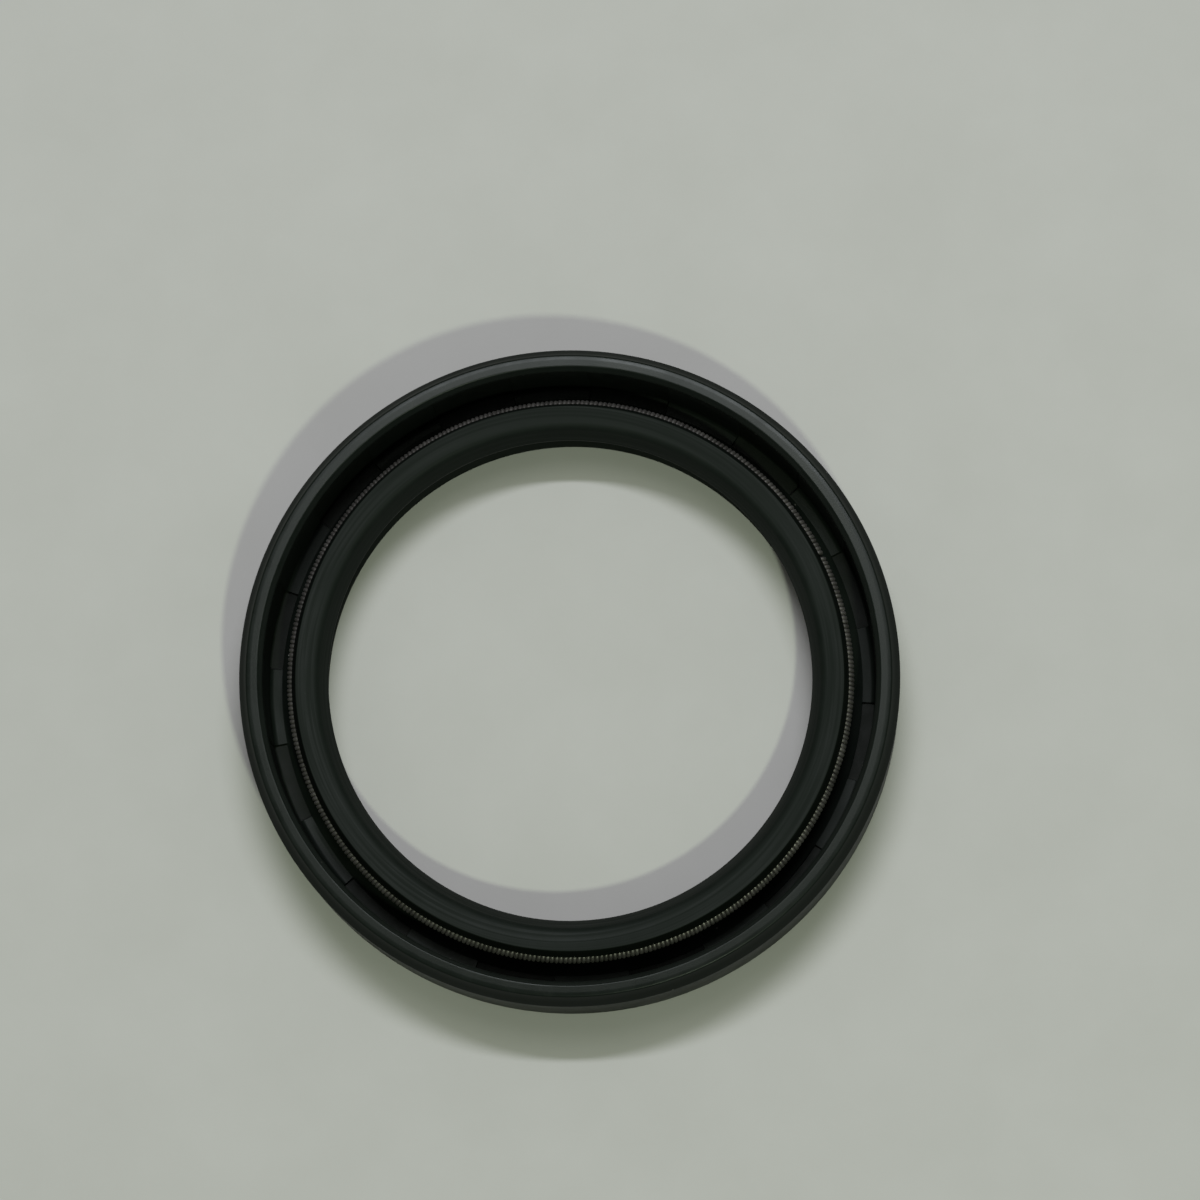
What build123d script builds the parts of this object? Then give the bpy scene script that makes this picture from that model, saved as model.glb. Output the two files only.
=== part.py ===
from build123d import *
import os

# Radial shaft seal with a dust lip, garter spring and rubber-covered steel case.
# Frame: origin at the centre of the back (air side) face, +Z along the shaft
# towards the oil side. Sizes are in millimetres.

# --- standard size: shaft, housing bore and width ---
shaft_diameter = 40.0
housing_diameter = 52.0
seal_width = 10.0

# --- stiffening case, a steel L ring pressed from one sheet ---
case_thickness = 0.9
case_bend_inside = 0.2
flange_reach = 1.25  # flange edge outside the membrane's shaft side

# --- rubber cover round the case ---
cover_thickness = 0.9
back_cover = 1.0
rim_cover = 1.0
floor_cover = 0.3
wall_cover = 0.1
rim_round = 0.34
wall_root_round = 0.4
lead_in_length = 1.5
lead_in_depth = 0.65
lead_in_round = 0.2
back_chamfer_length = 0.8
back_chamfer_depth = 0.5
outer_blend = 0.5

# --- shallow notches that the mould's locating pads leave in the channel ---
notch_count = 12
notch_arc = 15.2  # degrees
notch_centre = 18.9  # degrees from +X

# --- how head and spring channel split the room between lip edge and wall ---
head_part = 0.48  # of the room; the channel has the rest
floor_part = 0.38  # of the channel, the flat floor beside the wall
root_spread_part = 0.11  # of the channel, membrane's foot outside its neck

# --- sealing lip ---
lip_interference = 1.8  # on the diameter, before fitting
lip_land = 0.2
head_drop = 1.9  # head's top below the rim
face_fall = 0.1
trim_height = 1.5
trim_part = 0.34  # of the head's width
trim_round = 0.8
crown_round = 0.28
head_skirt = 0.4  # rubber below the spring groove
skirt_reach = 0.25  # outside the crown, under the spring
skirt_slope = 0.3
skirt_round = 0.1

# --- flexible membrane between head and case ---
membrane_part = 0.355  # of the head's width
setback_part = 0.52  # of the head's width, from lip edge to shaft side
root_rise_part = 0.45  # of the membrane's height, top of the sloping root
root_round = 0.5
floor_edge_round = 0.12
membrane_blend = 1.0
membrane_flat = 1.2  # straight part above the dust lip's root

# --- dust lip and the relief behind it ---
dust_interference = 1.0  # on the diameter, before fitting
dust_land = 0.23
dust_height = 0.65
dust_rise = 1.1  # top of its root above its edge
dust_relief_depth = 1.25
dust_relief_reach = 0.05
heel_setback = 2.2  # back face starts this far outside the lip edge
heel_round = 0.2

# --- garter spring, a close-wound coil with its ends joined ---
wire_diameter = 0.34
coil_diameter = 1.4
spring_drop = 0.5  # spring's centre below the lip edge
spring_proud = 0.95  # how far it stands out of the head
groove_clearance = 0.02
nib_clearance = 0.02
nib_arc = 5.0  # degrees
nib_root_arc = 1.0  # degrees
joint_gap_arc = 0.12  # degrees
joint_angle = 26.2  # degrees from +X

# --- places worked out from the sizes above ---
outer_r = housing_diameter / 2
lip_r = (shaft_diameter - lip_interference) / 2
dust_r = (shaft_diameter - dust_interference) / 2

case_outer_r = outer_r - cover_thickness
case_inner_r = case_outer_r - case_thickness
case_top = seal_width - rim_cover
flange_top = back_cover + case_thickness
floor_z = flange_top + floor_cover

wall_top_r = case_inner_r - wall_cover
head_width = head_part * (wall_top_r - lip_r)
crown_r = lip_r + head_width
channel_width = wall_top_r - crown_r
floor_width = floor_part * channel_width
floor_edge_r = wall_top_r - floor_width

membrane_inner_r = lip_r + setback_part * head_width
membrane_outer_r = membrane_inner_r + membrane_part * head_width
membrane_root_r = membrane_outer_r + root_spread_part * channel_width
flange_inner_r = membrane_inner_r + flange_reach

head_top = seal_width - head_drop
trim_top = head_top - face_fall
trim_r = lip_r + trim_part * head_width
land_top = trim_top - trim_height
land_bottom = land_top - lip_land
dust_root_z = dust_height + dust_land + dust_rise
air_root_z = dust_root_z + membrane_flat

coil_r = coil_diameter / 2
bore_of_coil_r = coil_r - wire_diameter
groove_r = coil_r + groove_clearance
spring_r = crown_r + spring_proud - coil_r
spring_z = (land_top + land_bottom) / 2 - spring_drop
skirt_r = crown_r + skirt_reach
head_bottom = spring_z - groove_r - head_skirt
neck_z = head_bottom - skirt_slope
membrane_root_z = floor_z + root_rise_part * (neck_z - floor_z)

# rounds that the walls beside them limit
head_face = crown_r - trim_r
crown_blend = min(crown_round, head_face / 4)
trim_blend = min(trim_round, head_face / 2)
root_blend = min(root_round, (neck_z - membrane_root_z) / 1.2)
wall_blend = min(wall_root_round, floor_width / 2)


def rounded_face(corners):
    """A closed face in the XZ plane from (radius, height, corner round) triples."""
    points = [(r, z) for r, z, _ in corners]
    rounds = [size for _, _, size in corners]
    return make_face(Plane.XZ * FilletPolyline(*points, radius=rounds, close=True))


def spun(face):
    """The face turned once round the shaft axis."""
    return revolve(face, Axis.Z)


def disc(radius):
    """A round section at the spring's centre."""
    return Plane.XZ * Pos(spring_r, spring_z) * Circle(radius)


def turned_part(face, start, arc):
    """The face turned through an arc that starts at the given angle, in degrees."""
    return Rot(0, 0, start) * revolve(face, Axis.Z, revolution_arc=arc)


def rubber_outline():
    """Section of the moulded rubber, without room for the case or the spring."""
    return rounded_face(
        [
            # outside: back chamfer, press-fit wall and lead-in, then the rim
            (outer_r - back_chamfer_depth, 0, lead_in_round),
            (outer_r, back_chamfer_length, outer_blend),
            (outer_r, seal_width - lead_in_length, outer_blend),
            (outer_r - lead_in_depth, seal_width, lead_in_round),
            # inner wall, flat floor, sloping root and the membrane's outside
            (wall_top_r, seal_width, rim_round),
            (wall_top_r, floor_z, wall_blend),
            (floor_edge_r, floor_z, floor_edge_round),
            (membrane_root_r, membrane_root_z, root_blend),
            (membrane_outer_r, neck_z, skirt_round),
            # lip head: skirt, crown, trimmed face and contact land
            (skirt_r, head_bottom, skirt_round),
            (crown_r, head_top, crown_blend),
            (trim_r, trim_top, trim_blend),
            (lip_r, land_top, 0),
            (lip_r, land_bottom, 0),
            # air side of the membrane, then the dust lip and its relief
            (membrane_inner_r, air_root_z, membrane_blend),
            (membrane_inner_r, dust_root_z, heel_round),
            (dust_r, dust_height + dust_land, 0),
            (dust_r, dust_height, 0),
            (membrane_inner_r + dust_relief_reach, dust_relief_depth, heel_round),
            (lip_r + heel_setback, 0, heel_round),
        ]
    )


def case_outline():
    """Section of the steel L ring: a wall up the outside and a flange inwards."""
    bend_outside = case_bend_inside + case_thickness
    return rounded_face(
        [
            (case_outer_r, back_cover, bend_outside),
            (case_outer_r, case_top, 0),
            (case_inner_r, case_top, 0),
            (case_inner_r, flange_top, case_bend_inside),
            (flange_inner_r, flange_top, 0),
            (flange_inner_r, back_cover, 0),
        ]
    )


def notches():
    """Cuts that bare the case between the floor's edge and the end of its wall."""
    cut = rounded_face(
        [
            (floor_edge_r, flange_top, 0),
            (case_inner_r, flange_top, 0),
            (case_inner_r, case_top, 0),
            (floor_edge_r, case_top, 0),
        ]
    )
    pitch = 360 / notch_count
    starts = [notch_centre - notch_arc / 2 + n * pitch for n in range(notch_count)]
    return [turned_part(cut, start, notch_arc) for start in starts]


def rubber_body():
    section = rubber_outline() - disc(groove_r)
    return spun(section) - spun(case_outline()) - notches()


def garter_spring():
    """The coil as a tube, with a nib on one end that fits inside the other."""
    start = joint_angle + joint_gap_arc
    tube = turned_part(
        disc(coil_r) - disc(bore_of_coil_r), start, 360 - joint_gap_arc
    )
    end = joint_angle
    plug = turned_part(disc(bore_of_coil_r), end - nib_root_arc, nib_root_arc)
    nib = turned_part(
        disc(bore_of_coil_r - nib_clearance),
        end - nib_root_arc / 2,
        nib_root_arc / 2 + joint_gap_arc + nib_arc,
    )
    return tube + plug + nib


parts = {
    "rubber_body": rubber_body(),
    "steel_case": spun(case_outline()),
    "garter_spring": garter_spring(),
}

os.makedirs("parts", exist_ok=True)
for name, shape in parts.items():
    export_step(shape, f"parts/{name}.step")
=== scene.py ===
import bpy
import math
import numpy as np
from mathutils import Matrix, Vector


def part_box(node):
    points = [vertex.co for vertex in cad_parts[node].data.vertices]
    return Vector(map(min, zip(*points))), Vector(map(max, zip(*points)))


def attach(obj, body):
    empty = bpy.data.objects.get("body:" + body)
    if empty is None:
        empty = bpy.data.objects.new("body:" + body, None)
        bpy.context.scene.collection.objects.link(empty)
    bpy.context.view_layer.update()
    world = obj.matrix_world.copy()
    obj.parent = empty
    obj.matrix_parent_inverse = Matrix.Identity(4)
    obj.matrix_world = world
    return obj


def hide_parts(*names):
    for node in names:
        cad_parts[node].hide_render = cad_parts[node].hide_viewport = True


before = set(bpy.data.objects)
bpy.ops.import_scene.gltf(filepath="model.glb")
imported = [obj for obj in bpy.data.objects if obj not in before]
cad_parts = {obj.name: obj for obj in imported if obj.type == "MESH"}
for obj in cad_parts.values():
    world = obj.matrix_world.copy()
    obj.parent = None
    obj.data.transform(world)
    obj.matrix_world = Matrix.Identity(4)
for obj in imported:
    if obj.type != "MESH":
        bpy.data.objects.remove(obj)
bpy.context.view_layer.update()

MM = 0.001


def box_mm(node):
    """Lowest and highest corner of a CAD node, in millimetres."""
    return [np.array(corner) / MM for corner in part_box(node)]


# ---------------------------------------------------------------- seal sizes, mm
BODY_BOX = box_mm("rubber_body")
CASE_BOX = box_mm("steel_case")
SPRING_BOX = box_mm("garter_spring")

OUTER_R = BODY_BOX[1][0]
WIDTH = BODY_BOX[1][2]
CASE_OUT_R = CASE_BOX[1][0]
CASE_LOW = CASE_BOX[0][2]
CASE_TOP = CASE_BOX[1][2]
CASE_THICK = 0.9
CASE_EDGE_ROUND = 0.05
CASE_LIP_ROUND = 0.12
CASE_IN_R = CASE_OUT_R - CASE_THICK
FLANGE_TOP = CASE_LOW + CASE_THICK
FLANGE_IN_R = 21.6
BEND_IN = 0.2

WALL_COVER = 0.1
FLOOR_COVER = 0.3
WALL_R = CASE_IN_R - WALL_COVER
FLOOR_Z = FLANGE_TOP + FLOOR_COVER
WALL_ROOT_ROUND = 0.4
FLOOR_EDGE_R = 23.11
FLOOR_EDGE_ROUND = 0.12
RIM_SLOPE = (0.34, 0.5)  # inwards and down, at the rim's inner edge
RIM_SLOPE_ROUNDS = (0.17, 0.3)  # above and below it
RIM_FLAT_R = 24.6
RIM_MIDDLE_R = 25.0
RIM_MIDDLE_ROUND = 1.6
RIM_FALL = 0.024  # outwards from the rim's middle
LEAD_IN = (0.65, 1.5)  # inwards and down
BACK_CHAMFER = (0.5, 0.8)  # inwards and up
OUTER_BLEND = 0.5
EDGE_ROUND = 0.2

LIP_R = 19.1
LAND_TOP = 6.5
LAND_LOW = 6.3
HEAD_TOP = 8.1
CROWN_R = 21.5
CROWN_REACH = 0.12  # head's upper edge outside the solids' crown
CROWN_ROUND = 0.09
FACE_FALL = 0.14
TRIM_R = 19.92
TRIM_ROUND = 0.75
LIP_EDGE_ROUND = 0.04
SKIRT_R = 21.75
SKIRT_ROUND = 0.1
HEAD_SKIRT = 0.4  # rubber below the spring groove
SKIRT_SLOPE = 0.3

MEMBRANE_IN_R = 20.35
MEMBRANE_OUT_R = 21.2
MEMBRANE_BLEND = 1.0
AIR_ROOT_Z = 3.18
ROOT_R = 21.49
ROOT_RISE_PART = 0.45  # of the height from floor to neck
ROOT_ROUND = 0.5
ROOT_START = 0.3  # inwards from the floor's edge, where the inner wall's line ends

DUST_R = 19.5
DUST_LOW = 0.65
DUST_LAND = 0.23
DUST_ROOT_Z = 1.98
DUST_EDGE_ROUND = 0.03
RELIEF_Z = 1.25
RELIEF_REACH = 0.05
HEEL_SETBACK = 2.2

COIL_R = (SPRING_BOX[1][2] - SPRING_BOX[0][2]) / 2
SPRING_R = SPRING_BOX[1][0] - COIL_R
SPRING_Z = (SPRING_BOX[1][2] + SPRING_BOX[0][2]) / 2
GROOVE_CLEARANCE = 0.02
GROOVE_R = COIL_R + GROOVE_CLEARANCE
HOOD_REACH = 0.25  # the thin rubber over the coil ends this far outside its middle
HOOD_R = SPRING_R + HOOD_REACH
HOOD_THICK = 0.1
HOOD_ROUND = 0.04
HEAD_LOW = SPRING_Z - GROOVE_R - HEAD_SKIRT
NECK_Z = HEAD_LOW - SKIRT_SLOPE
ROOT_Z = FLOOR_Z + ROOT_RISE_PART * (NECK_Z - FLOOR_Z)
SLOPE_END_R = FLOOR_EDGE_R - ROOT_START
SLOPE_END_Z = FLOOR_Z + ROOT_START * (ROOT_Z - FLOOR_Z) / (FLOOR_EDGE_R - ROOT_R)

WIRE_R = 0.168
WIRE_PLAY = 0.012  # between the turns and the coil's full size
TURNS = 392
JOINT_ANGLE = math.radians(26.2)
JOINT_GAP = math.radians(0.55)

NOTCHES = 12
NOTCH_PITCH = 360 / NOTCHES  # degrees, and so are the next four
NOTCH_CENTRE = 18.9
NOTCH_ARC = 15.2
NOTCH_EDGE = 0.22
NOTCH_SAMPLES = (-0.16, -0.11, -0.055, 0, 0.055, 0.11, 0.16)
NOTCH_DEPTH = 0.06  # how far the notched rubber lies behind the case's face
NOTCH_TOP_GAP = 0.01  # rubber left above the case's end
NOTCH_ROUND = 0.02
NOTCH_ROOT_ROUND = 0.05

FLOOR_HALF = 600


# ---------------------------------------------------------------- profile tools
def arc_corner(a, b, c, radius, steps):
    """Points of the round that joins a-b to b-c."""
    a, b, c = (np.array(p, float) for p in (a, b, c))
    u = (a - b) / np.linalg.norm(a - b)
    v = (c - b) / np.linalg.norm(c - b)
    half = 0.5 * math.acos(float(np.clip(np.dot(u, v), -1, 1)))
    reach = radius / math.tan(half)
    middle = b + (u + v) / np.linalg.norm(u + v) * radius / math.sin(half)
    first, last = b + u * reach - middle, b + v * reach - middle
    start = math.atan2(first[1], first[0])
    turn = math.atan2(last[1], last[0]) - start
    turn = (turn + math.pi) % (2 * math.pi) - math.pi
    angles = start + turn * np.linspace(0, 1, steps + 1)
    return [middle + radius * np.array([math.cos(t), math.sin(t)]) for t in angles]


def rounded(corners):
    """Open line through (r, z, round, steps) corners; the two ends stay sharp."""
    points = [np.array(corners[0][:2], float)]
    for i in range(1, len(corners) - 1):
        before, here, after = corners[i - 1], corners[i], corners[i + 1]
        if here[2] > 0:
            points += arc_corner(before[:2], here[:2], after[:2], here[2], here[3])
        else:
            points.append(np.array(here[:2], float))
    points.append(np.array(corners[-1][:2], float))
    return np.array(points)


def spaced(points, gap):
    """The same line with no step longer than gap."""
    out = [points[0]]
    for a, b in zip(points[:-1], points[1:]):
        n = max(1, int(math.ceil(np.linalg.norm(b - a) / gap)))
        out += [a + (b - a) * k / n for k in range(1, n + 1)]
    return np.array(out)


def shares_along(points):
    """Each point's place on the line, from 0 to 1."""
    steps = np.linalg.norm(np.diff(points, axis=0), axis=1)
    return np.concatenate([[0], np.cumsum(steps)]) / steps.sum()


def resampled(points, shares):
    """Points at the given shares of the line's length."""
    along = shares_along(points)
    return np.stack([np.interp(shares, along, points[:, k]) for k in (0, 1)], axis=1)


# ---------------------------------------------------------------- mesh tools
def mesh_object(name, vertices, faces, smooth_angle=32):
    """An object from vertices in millimetres, sharp where it bends more than the angle."""
    mesh = bpy.data.meshes.new(name)
    mesh.from_pydata([tuple(v) for v in vertices * MM], [], [tuple(f) for f in faces])
    mesh.update()
    mesh.polygons.foreach_set("use_smooth", [True] * len(mesh.polygons))
    mesh.set_sharp_from_angle(angle=math.radians(smooth_angle))
    obj = bpy.data.objects.new(name, mesh)
    bpy.context.scene.collection.objects.link(obj)
    return obj


def grid_quads(rings, points, close_rings=True):
    """Quads between rings of points, which close on themselves."""
    between = np.arange(rings if close_rings else rings - 1)
    i, j = np.meshgrid(between, np.arange(points), indexing="ij")
    i2, j2 = (i + 1) % rings, (j + 1) % points
    corner = [i * points + j, i2 * points + j, i2 * points + j2, i * points + j2]
    return np.stack([c.ravel() for c in corner], axis=1)


def turned(name, sections, angles):
    """A ring through one closed (r, z) section at each angle in radians."""
    sections = np.asarray(sections)
    c, s = np.cos(angles)[:, None], np.sin(angles)[:, None]
    r, z = sections[:, :, 0], sections[:, :, 1]
    vertices = np.stack([r * c, r * s, z], axis=2).reshape(-1, 3)
    return mesh_object(name, vertices, grid_quads(len(angles), sections.shape[1]))


# ---------------------------------------------------------------- rubber body
RIM_CORNERS = [
    (RIM_FLAT_R, WIDTH, 0, 0),
    (WALL_R + RIM_SLOPE[0], WIDTH, RIM_SLOPE_ROUNDS[0], 5),
    (WALL_R, WIDTH - RIM_SLOPE[1], RIM_SLOPE_ROUNDS[1], 5),
]


def wall_line():
    """From the rim down the inner wall and over the floor to the membrane's root."""
    return rounded(RIM_CORNERS + [
        (WALL_R, FLOOR_Z, WALL_ROOT_ROUND, 8),
        (FLOOR_EDGE_R, FLOOR_Z, FLOOR_EDGE_ROUND, 4),
        (SLOPE_END_R, SLOPE_END_Z, 0, 0),
    ])


def notch_line():
    """The same way where a locating pad has bared the case."""
    behind_r, behind_z = CASE_IN_R + NOTCH_DEPTH, FLANGE_TOP - NOTCH_DEPTH
    return rounded(RIM_CORNERS + [
        (WALL_R, CASE_TOP + NOTCH_TOP_GAP, NOTCH_ROUND, 2),
        (behind_r, CASE_TOP - NOTCH_DEPTH, NOTCH_ROUND, 2),
        (behind_r, behind_z, NOTCH_ROOT_ROUND, 2),
        (FLOOR_EDGE_R, behind_z, NOTCH_ROUND, 2),
        (FLOOR_EDGE_R, FLOOR_Z, NOTCH_ROOT_ROUND, 3),
        (SLOPE_END_R, SLOPE_END_Z, 0, 0),
    ])


def groove_line():
    """The spring groove, from its lower mouth round to its upper one."""
    foot = np.array([SKIRT_R - SPRING_R, HEAD_LOW - SPRING_Z])
    face = np.array([CROWN_R - SKIRT_R, HEAD_TOP - HEAD_LOW])
    # the lower mouth is where the line from skirt to crown enters the groove's circle
    a, b, c = face @ face, foot @ face, foot @ foot - GROOVE_R ** 2
    mouth = foot + face * (-b - math.sqrt(b * b - a * c)) / a
    low = math.atan2(mouth[1], mouth[0]) % (2 * math.pi)
    high = math.acos((HOOD_R - SPRING_R) / GROOVE_R)
    return [
        (SPRING_R + GROOVE_R * math.cos(t), SPRING_Z + GROOVE_R * math.sin(t), 0, 0)
        for t in np.linspace(low, high, 24)
    ]


def outside_line():
    """From the floor over the head, round the air side and up the outside."""
    return rounded(
        [
            (SLOPE_END_R, SLOPE_END_Z, 0, 0),
            (ROOT_R, ROOT_Z, ROOT_ROUND, 7),
            (MEMBRANE_OUT_R, NECK_Z, SKIRT_ROUND, 3),
            (SKIRT_R, HEAD_LOW, SKIRT_ROUND, 4),
        ]
        + groove_line()
        + [
            (HOOD_R, SPRING_Z + GROOVE_R + HOOD_THICK, HOOD_ROUND, 3),
            (CROWN_R + CROWN_REACH, HEAD_TOP, CROWN_ROUND, 5),
            (TRIM_R, HEAD_TOP - FACE_FALL, TRIM_ROUND, 8),
            (LIP_R, LAND_TOP, LIP_EDGE_ROUND, 2),
            (LIP_R, LAND_LOW, LIP_EDGE_ROUND, 2),
            (MEMBRANE_IN_R, AIR_ROOT_Z, MEMBRANE_BLEND, 7),
            (MEMBRANE_IN_R, DUST_ROOT_Z, EDGE_ROUND, 4),
            (DUST_R, DUST_LOW + DUST_LAND, DUST_EDGE_ROUND, 2),
            (DUST_R, DUST_LOW, DUST_EDGE_ROUND, 2),
            (MEMBRANE_IN_R + RELIEF_REACH, RELIEF_Z, EDGE_ROUND, 5),
            (LIP_R + HEEL_SETBACK, 0, EDGE_ROUND, 4),
            (OUTER_R - BACK_CHAMFER[0], 0, EDGE_ROUND, 5),
            (OUTER_R, BACK_CHAMFER[1], OUTER_BLEND, 4),
            (OUTER_R, WIDTH - LEAD_IN[1], OUTER_BLEND, 4),
            (OUTER_R - LEAD_IN[0], WIDTH - RIM_FALL, EDGE_ROUND, 6),
            (RIM_MIDDLE_R, WIDTH, RIM_MIDDLE_ROUND, 6),
            (RIM_FLAT_R, WIDTH, 0, 0),
        ]
    )


def notch_weight(angle):
    """1 inside a notch, 0 outside, with a narrow moulded edge between."""
    turn = math.degrees(angle) - NOTCH_CENTRE
    off = (turn + NOTCH_PITCH / 2) % NOTCH_PITCH - NOTCH_PITCH / 2
    share = (NOTCH_ARC / 2 + NOTCH_EDGE / 2 - abs(off)) / NOTCH_EDGE
    share = min(1.0, max(0.0, share))
    return share * share * (3 - 2 * share)


def stations():
    """Angles all round, close together at the notches' edges."""
    step, clear = 1.25, 0.35
    angles = list(np.arange(0, 360, step))
    for n in range(NOTCHES):
        for side in (-1, 1):
            edge = NOTCH_CENTRE + n * NOTCH_PITCH + side * NOTCH_ARC / 2
            angles = [a for a in angles if abs((a - edge + 180) % 360 - 180) > clear]
            angles += [(edge + d) % 360 for d in NOTCH_SAMPLES]
    return np.radians(np.array(sorted(angles)))


def unevenness(seed, highest, size):
    """A slow wave round the ring, as a function of the angle."""
    rng = np.random.default_rng(seed)
    orders = np.arange(2, highest)
    phases = rng.uniform(0, 2 * math.pi, len(orders))
    sizes = rng.normal(0, 1, len(orders)) / orders ** 0.5
    sizes *= size / math.sqrt(np.sum(sizes ** 2) / 2)
    return lambda angle: float(np.sum(sizes * np.cos(orders * angle + phases)))


def rubber_body():
    """The moulded body as one skin, with its inner wall changing at the notches."""
    wall = spaced(wall_line(), gap=0.5)
    notch = spaced(notch_line(), gap=0.8)
    rest = spaced(outside_line(), gap=0.9)
    both = np.concatenate([shares_along(wall), shares_along(notch)])
    shares = np.unique(np.round(both, 5))
    wall, notch = resampled(wall, shares), resampled(notch, shares)

    r, z = wall.T
    rim_fade, edge_fade, floor_fade = 1.5, 0.3, 1.0
    near_rim = np.clip((z - WIDTH + rim_fade) / rim_fade, 0, 1)
    near_rim *= np.clip((RIM_FLAT_R - r) / edge_fade, 0, 1)
    near_floor = np.clip((r - FLOOR_EDGE_R) / edge_fade, 0, 1)
    near_floor *= np.clip((FLOOR_Z + floor_fade - z) / floor_fade, 0, 1)
    rim_wave = unevenness(seed=3, highest=60, size=0.012)
    floor_wave = unevenness(seed=8, highest=40, size=0.03)

    angles, sections = stations(), []
    for angle in angles:
        uneven = wall.copy()
        uneven[:, 0] += rim_wave(angle) * near_rim
        uneven[:, 1] += floor_wave(angle) * near_floor
        share = notch_weight(angle)
        front = uneven * (1 - share) + notch * share
        sections.append(np.concatenate([front[:-1], rest[:-1]]))
    return turned("seal_rubber", sections, angles)


# ---------------------------------------------------------------- steel case
def steel_case():
    """The L ring, inside the rubber but for the notches."""
    middle_r = (CASE_OUT_R + FLANGE_IN_R) / 2
    line = rounded([
        (middle_r, CASE_LOW, 0, 0),
        (CASE_OUT_R, CASE_LOW, BEND_IN + CASE_THICK, 10),
        (CASE_OUT_R, CASE_TOP, CASE_EDGE_ROUND, 3),
        (CASE_IN_R, CASE_TOP, CASE_LIP_ROUND, 4),
        (CASE_IN_R, FLANGE_TOP, BEND_IN, 6),
        (FLANGE_IN_R, FLANGE_TOP, CASE_EDGE_ROUND, 3),
        (FLANGE_IN_R, CASE_LOW, CASE_EDGE_ROUND, 3),
        (middle_r, CASE_LOW, 0, 0),
    ])
    section = spaced(line, gap=0.8)[:-1]
    angles = np.radians(np.arange(0, 360, 1.0))
    return turned("seal_case", [section] * len(angles), angles)


# ---------------------------------------------------------------- garter spring
def wire(name, path, radius, sides):
    """A round wire wound round the spring's circle along a path, with closed ends."""
    tangent = np.gradient(path, axis=0)
    tangent /= np.linalg.norm(tangent, axis=1)[:, None]
    centre = np.stack([path[:, 0], path[:, 1], np.zeros(len(path))], axis=1)
    centre *= SPRING_R / np.linalg.norm(centre, axis=1)[:, None]
    centre[:, 2] = SPRING_Z
    # out points away from the coil's middle, square to the wire
    out = path - centre
    out -= tangent * np.sum(out * tangent, axis=1)[:, None]
    out /= np.linalg.norm(out, axis=1)[:, None]
    side = np.cross(tangent, out)
    turn = np.linspace(0, 2 * math.pi, sides, endpoint=False)
    ring = (
        path[:, None, :]
        + radius * np.cos(turn)[None, :, None] * out[:, None, :]
        + radius * np.sin(turn)[None, :, None] * side[:, None, :]
    )
    vertices = ring.reshape(-1, 3)
    quads = grid_quads(len(path), sides, close_rings=False)[:, ::-1]
    ends = [range(sides)[::-1], range(len(vertices) - sides, len(vertices))]
    return mesh_object(name, vertices, [*quads, *ends], smooth_angle=60)


def garter_spring():
    """The close-wound turns, slightly uneven, with both wire ends on the inner side."""
    samples_per_turn, sides = 13, 8
    size_spread, place_spread = 0.006, 0.00035  # millimetres and radians
    t = np.linspace(0, 1, TURNS * samples_per_turn)
    phase = math.pi + t * TURNS * 2 * math.pi
    rng = np.random.default_rng(5)
    knots = np.linspace(0, 1, TURNS * 2)
    size_off = np.interp(t, knots, rng.normal(0, size_spread, len(knots)))
    place_off = np.interp(t, knots, rng.normal(0, place_spread, len(knots)))
    around = JOINT_ANGLE + JOINT_GAP / 2 + t * (2 * math.pi - JOINT_GAP) + place_off
    mean = COIL_R - WIRE_R - WIRE_PLAY + size_off
    r = SPRING_R + mean * np.cos(phase)
    z = SPRING_Z + mean * np.sin(phase)
    path = np.stack([r * np.cos(around), r * np.sin(around), z], axis=1)
    return wire("seal_spring", path, WIRE_R, sides)


# ---------------------------------------------------------------- material tools
NOISE_SPAN = (0.3, 0.7)  # where most values of a noise texture lie
CLOUDY = {"detail": 4.0, "roughness": 0.6}  # the noise behind a mottled tone


def material(name):
    """A new material, its node tree and its shader."""
    mat = bpy.data.materials.new(name)
    mat.use_nodes = True
    return mat, mat.node_tree, mat.node_tree.nodes["Principled BSDF"]


def feed(tree, node, inputs):
    """Link each named input to a socket, or set it to a plain value."""
    for key, value in inputs.items():
        if isinstance(value, bpy.types.NodeSocket):
            tree.links.new(value, node.inputs[key])
        else:
            node.inputs[key].default_value = value


def added(tree, kind, inputs, **settings):
    """A new node with these settings and inputs."""
    node = tree.nodes.new("ShaderNode" + kind)
    for name, value in settings.items():
        setattr(node, name, value)
    feed(tree, node, inputs)
    return node


def worked_out(tree, operation, *values):
    """The output of a math node fed by sockets or plain numbers."""
    return added(tree, "Math", dict(enumerate(values)), operation=operation).outputs[0]


def ramp(tree, value, start, end, low, high):
    """low up to start, high from end on, smooth between."""
    inputs = {"Value": value, "From Min": start, "From Max": end, "To Min": low, "To Max": high}
    return added(tree, "MapRange", inputs, interpolation_type="SMOOTHSTEP").outputs["Result"]


def ramp_mm(tree, place, start, end, low, high):
    """The same for a place in metres, with start and end in millimetres."""
    return ramp(tree, place, start * MM, end * MM, low, high)


def ramp_noise(tree, value, low, high):
    """low to high over a noise texture's span."""
    return ramp(tree, value, *NOISE_SPAN, low, high)


def object_place(tree):
    """Place in the piece's own frame, in metres."""
    return added(tree, "TexCoord", {}).outputs["Object"]


def ring_place(tree, place):
    """Radius from the shaft's axis and height, in metres."""
    x, y, z = added(tree, "SeparateXYZ", {0: place}).outputs
    squares = [worked_out(tree, "MULTIPLY", v, v) for v in (x, y)]
    return worked_out(tree, "SQRT", worked_out(tree, "ADD", *squares)), z


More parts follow.
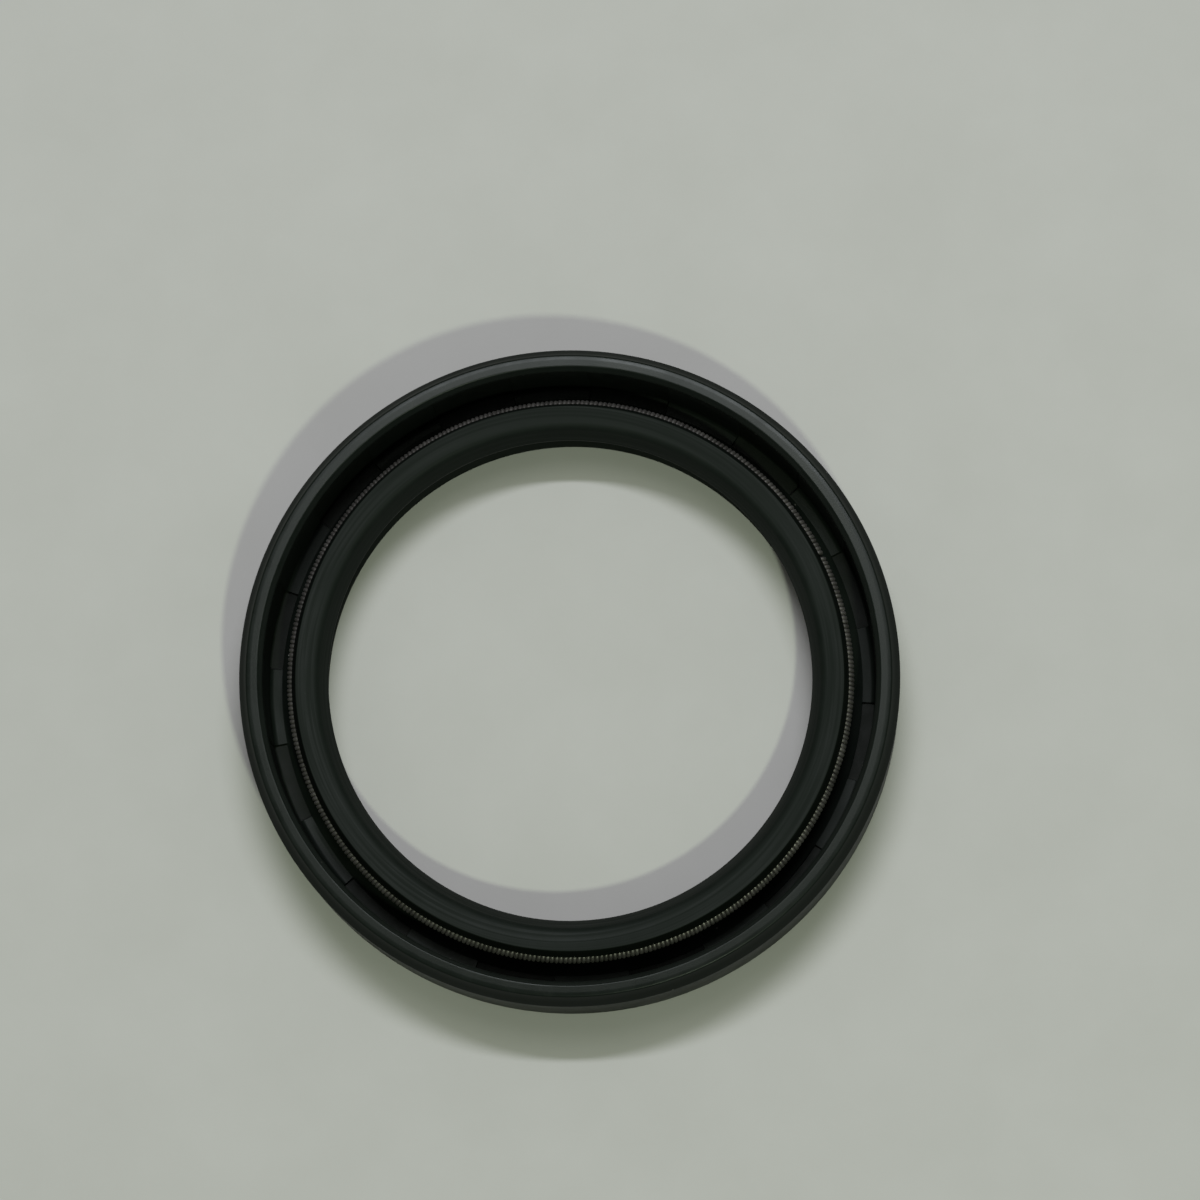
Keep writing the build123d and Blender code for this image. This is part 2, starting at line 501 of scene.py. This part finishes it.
def noise(tree, place, scale, detail=3.0, roughness=0.5):
    """The value of a noise texture, about 0.5 on average."""
    inputs = {"Vector": place, "Scale": scale, "Detail": detail, "Roughness": roughness}
    return added(tree, "TexNoise", inputs).outputs["Fac"]


def streaks(tree, place, radius, height, scale, lengthwise=0.02):
    """Fine rings round the axis, which fade in and out more slowly along their length."""
    along = added(tree, "VectorMath", {0: place, "Scale": lengthwise}, operation="SCALE")
    across = added(tree, "CombineXYZ", {0: radius, 1: height})
    both = {0: along.outputs[0], 1: across.outputs[0]}
    stretched = added(tree, "VectorMath", both, operation="ADD")
    return noise(tree, stretched.outputs[0], scale, detail=2.0)


def specks(tree, place, scale, size, share):
    """1 on sparse specks of dust, 0 elsewhere."""
    cells = added(tree, "TexVoronoi", {"Vector": place, "Scale": scale})
    near = ramp(tree, cells.outputs["Distance"], size * 0.5, size, 1.0, 0.0)
    tone = added(tree, "SeparateXYZ", {0: cells.outputs["Color"]})
    chosen = worked_out(tree, "LESS_THAN", tone.outputs[0], share)
    return worked_out(tree, "MULTIPLY", near, chosen)


def two_tones(tree, value, dark, light):
    """A colour between two tones, by a noise value."""
    node = added(tree, "ValToRGB", {"Fac": value})
    for element, position, tone in zip(node.color_ramp.elements, NOISE_SPAN, (dark, light)):
        element.position = position
        element.color = (*tone, 1)
    return node.outputs["Color"]


def bumped(tree, shader, value, strength, distance):
    """Fine relief, with its distance in metres."""
    bump = added(tree, "Bump", {"Height": value, "Strength": strength, "Distance": distance})
    feed(tree, shader, {"Normal": bump.outputs["Normal"]})


# ---------------------------------------------------------------- materials
def rubber_roughness(tree, radius, height):
    """Dull on the trimmed head and the lead-in, smoother on the rim."""
    plain, head_adds, rim_adds, lead_in_adds = 0.50, 0.09, -0.215, 0.22
    seat_top = WIDTH - LEAD_IN[1]
    on_head = ramp_mm(tree, radius, CROWN_R + 0.1, CROWN_R + 0.3, 1.0, 0.0)
    on_rim = ramp_mm(tree, height, WIDTH - 0.9, WIDTH - 0.1, 0.0, 1.0)
    below_rim = ramp_mm(tree, height, WIDTH - 0.2, WIDTH - 0.06, 1.0, 0.0)
    above_seat = ramp_mm(tree, height, seat_top - 0.25, seat_top, 0.0, 1.0)
    outside = ramp_mm(tree, radius, CASE_OUT_R + 0.1, CASE_OUT_R + 0.3, 0.0, 1.0)
    on_lead_in = worked_out(tree, "MULTIPLY", below_rim, outside)
    on_lead_in = worked_out(tree, "MULTIPLY", on_lead_in, above_seat)
    rough = plain
    for zone, adds in ((on_head, head_adds), (on_rim, rim_adds), (on_lead_in, lead_in_adds)):
        rough = worked_out(tree, "MULTIPLY_ADD", zone, adds, rough)
    return rough, on_head


def rubber_material():
    """Black nitrile rubber, mottled, with fine rings from the trimming tool."""
    mat, tree, shader = material("rubber_black")
    place = object_place(tree)
    radius, height = ring_place(tree, place)
    grain = noise(tree, place, 9000)
    patches = noise(tree, place, 420, **CLOUDY)
    broad = noise(tree, place, 75, detail=1.0)
    rings = streaks(tree, place, radius, height, scale=5200)
    dust = specks(tree, place, scale=620, size=0.07, share=0.12)

    rough, on_head = rubber_roughness(tree, radius, height)
    tool_marks = worked_out(tree, "MULTIPLY", on_head, ramp_noise(tree, rings, -0.08, 0.08))
    mottling = [ramp_noise(tree, value, -0.03, 0.03) for value in (patches, broad)]
    for uneven in (tool_marks, *mottling):
        rough = worked_out(tree, "ADD", rough, uneven)

    moulded = two_tones(tree, patches, (0.0045, 0.0067, 0.0051), (0.0067, 0.0092, 0.0073))
    tones = {"Factor": dust, "A": moulded, "B": (0.10, 0.10, 0.09, 1)}
    feed(tree, shader, {
        "Base Color": added(tree, "Mix", tones, data_type="RGBA").outputs["Result"],
        "Roughness": rough,
        "IOR": 1.45,
        "Specular IOR Level": 0.125,
        "Specular Tint": (0.93, 1.0, 0.95, 1),
    })
    relief = worked_out(tree, "MULTIPLY_ADD", rings, 0.35, grain)
    bumped(tree, shader, relief, strength=0.12, distance=0.00002)
    return mat


def steel_material():
    """Phosphated and primed sheet, nearly as dark as the rubber."""
    mat, tree, shader = material("case_primed")
    place = object_place(tree)
    patches = noise(tree, place, 900, **CLOUDY)
    tones = (0.0050, 0.0070, 0.0052), (0.0088, 0.0112, 0.0090)
    feed(tree, shader, {
        "Base Color": two_tones(tree, patches, *tones),
        "Roughness": ramp_noise(tree, patches, 0.42, 0.55),
        "IOR": 1.45,
        "Specular IOR Level": 0.06,
    })
    bumped(tree, shader, noise(tree, place, 14000), strength=0.2, distance=0.00001)
    return mat


def spring_material():
    """Drawn spring wire with a dull grey film and drawing marks."""
    mat, tree, shader = material("spring_wire")
    place = object_place(tree)
    film = noise(tree, place, 700, **CLOUDY)
    marks = noise(tree, place, 16000)
    feed(tree, shader, {
        "Base Color": two_tones(tree, film, (0.225, 0.22, 0.20), (0.46, 0.45, 0.415)),
        "Roughness": ramp_noise(tree, marks, 0.42, 0.56),
        "Metallic": 0.95,
    })
    bumped(tree, shader, marks, strength=0.2, distance=0.000005)
    return mat


def paper_material():
    """Pale paper with a faint cloudiness and fine tooth."""
    mat, tree, shader = material("paper")
    place = object_place(tree)
    clouds = noise(tree, place, 90, detail=5.0, roughness=0.6)
    feed(tree, shader, {
        "Base Color": two_tones(tree, clouds, (0.434, 0.439, 0.418), (0.454, 0.459, 0.440)),
        "Roughness": 0.9,
        "Specular IOR Level": 0.1,
    })
    bumped(tree, shader, noise(tree, place, 2600), strength=0.15, distance=0.00005)
    return mat


# ---------------------------------------------------------------- pieces
def dress(obj, mat, node):
    """Give a piece its material, hang it under the root body and hide the CAD node it stands
    for.
    """
    obj.data.materials.append(mat)
    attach(obj, "root")
    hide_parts(node)


def paper_floor():
    """The sheet of paper that the seal lies on."""
    corners = FLOOR_HALF * np.array([(-1, -1, 0), (1, -1, 0), (1, 1, 0), (-1, 1, 0)])
    obj = mesh_object("floor", corners, [(0, 1, 2, 3)])
    obj.data.materials.append(paper_material())
    return obj


dress(rubber_body(), rubber_material(), "rubber_body")
dress(steel_case(), steel_material(), "steel_case")
dress(garter_spring(), spring_material(), "garter_spring")
floor = paper_floor()


# ---------------------------------------------------------------- lights and camera
def aimed(name, data, place, back):
    """A light or camera at a place in metres, with its back turned this way."""
    back = np.array(back, float)
    back /= np.linalg.norm(back)
    right = np.cross((0, 1, 0), back)
    right /= np.linalg.norm(right)
    axes = np.stack([right, np.cross(back, right), back], axis=1)
    obj = bpy.data.objects.new(name, data)
    obj.matrix_world = Matrix.Translation(place) @ Matrix(axes.tolist()).to_4x4()
    bpy.context.scene.collection.objects.link(obj)
    return obj


def area_light(name, direction, distance, size, share, colour):
    """A lamp aimed at the origin that alone gives the floor this share of its colour."""
    towards = np.array(direction) / np.linalg.norm(direction)
    light = bpy.data.lights.new(name, "AREA")
    light.shape = "ELLIPSE"
    light.size, light.size_y = size
    light.energy = share * math.pi ** 2 * distance ** 2 / towards[2]
    light.color = colour
    aimed(name, light, (towards * distance).tolist(), direction)


def camera(place, look, focal_length, half_frame):
    """The photograph's camera, with its focal length and half its frame in pixels."""
    data = bpy.data.cameras.new("camera")
    data.angle = 2 * math.atan(half_frame / focal_length)
    data.clip_start = 0.01
    data.clip_end = 5
    bpy.context.scene.camera = aimed("camera", data, place, [-v for v in look])


def room(colour, strength):
    """Faint even light from all round."""
    world = bpy.data.worlds.new("room")
    bpy.context.scene.world = world
    world.use_nodes = True
    background = world.node_tree.nodes["Background"]
    feed(world.node_tree, background, {"Color": colour, "Strength": strength})


area_light(
    "lamp_a", direction=(0.02, 0.352, 0.936), distance=0.6,
    size=(0.28, 0.03), share=0.45, colour=(0.96, 0.955, 1.05),
)
area_light(
    "lamp_b", direction=(0.222, -0.465, 1.0), distance=0.9,
    size=(0.05, 0.05), share=0.24, colour=(1.0, 1.13, 0.85),
)
area_light(
    "soft_fill", direction=(0.0, 0.24, 0.97), distance=0.6,
    size=(0.16, 0.22), share=0.17, colour=(1.0, 1.0, 0.95),
)
room(colour=(1.0, 1.01, 0.93, 1), strength=0.17)
camera(
    place=(0.0185, -0.06206, 0.503), look=(-0.0325, 0.1377, -1.0),
    focal_length=6345.7, half_frame=600,
)
bpy.context.scene.view_settings.view_transform = "Standard"
